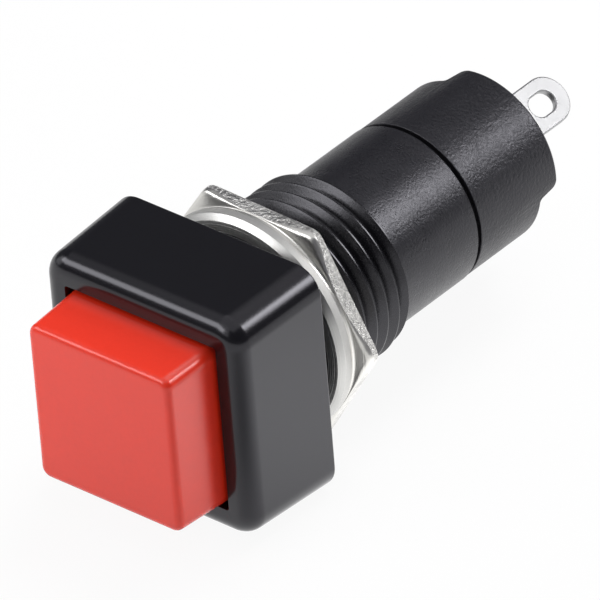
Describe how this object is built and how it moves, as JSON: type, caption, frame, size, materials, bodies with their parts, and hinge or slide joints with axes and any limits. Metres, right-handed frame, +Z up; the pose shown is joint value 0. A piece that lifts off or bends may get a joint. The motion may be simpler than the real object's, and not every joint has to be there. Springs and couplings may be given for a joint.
{
  "type": "panel push button switch",
  "caption": "Square-headed momentary push button switch for a round panel hole, held from behind by a washer and a hexagonal nut, with solder lugs at the rear.",
  "frame": {"origin": "on the switch's axis, in the plane where the bezel's back seats on the panel", "axes": "+Y along the switch's axis from the button back to the solder lugs, +X to the right and +Z up as the operator sees the panel"},
  "size_m": [0.0166, 0.0398, 0.0154],
  "materials": {
    "housing_plastic": "glossy black moulded plastic",
    "base_plastic": "satin black moulded plastic",
    "cap_plastic": "glossy red moulded plastic",
    "plunger_plastic": "natural moulded plastic",
    "spring_steel": "drawn spring wire",
    "contact_brass": "stamped brass",
    "contact_silver": "silver contact rivet",
    "tinned_brass": "stamped brass, tinned",
    "washer_nickel": "turned brass, nickel plated",
    "nut_nickel": "brass, nickel plated, satin"
  },
  "bodies": {
    "housing": {"bezel_housing": "housing_plastic", "rear_base": "base_plastic", "terminal_upper": "tinned_brass", "terminal_lower": "tinned_brass", "fixed_contact_upper": "contact_silver", "fixed_contact_lower": "contact_silver", "return_spring": "spring_steel"},
    "button": {"button_cap": "cap_plastic", "plunger": "plunger_plastic", "bridge_clip": "spring_steel", "contact_spring": "spring_steel"},
    "bridge": {"contact_bridge": "contact_brass", "moving_contact_upper": "contact_silver", "moving_contact_lower": "contact_silver"},
    "washer": {"panel_washer": "washer_nickel"},
    "nut": {"hex_nut": "nut_nickel"}
  },
  "joints": [
    {"name": "button_press", "type": "slide", "parent": "housing", "child": "button", "axis": [0, 1, 0], "range_m": [0, 0.0025], "stiffness_N_per_m": 400, "springref_m": -0.002, "deforming": ["return_spring"]},
    {"name": "bridge_overtravel", "type": "slide", "parent": "button", "child": "bridge", "axis": [0, -1, 0], "range_m": [0, 0.0006], "stiffness_N_per_m": 300, "springref_m": -0.0006, "deforming": ["contact_spring"]},
    {"name": "washer_run", "type": "slide", "parent": "housing", "child": "washer", "axis": [0, 1, 0], "range_m": [-0.0017, 0.0053]},
    {"name": "nut_turn", "type": "hinge", "parent": "washer", "child": "nut", "pos_m": [0, 0.00334, 0], "axis": [0, 1, 0], "range_deg": [-613, 1909]}
  ],
  "couplings": [
    {"joint": "bridge_overtravel", "follows": "button_press", "ratio": 0.24},
    {"joint": "nut_turn", "follows": "washer_run", "rad_per_m": 6283.2}
  ]
}
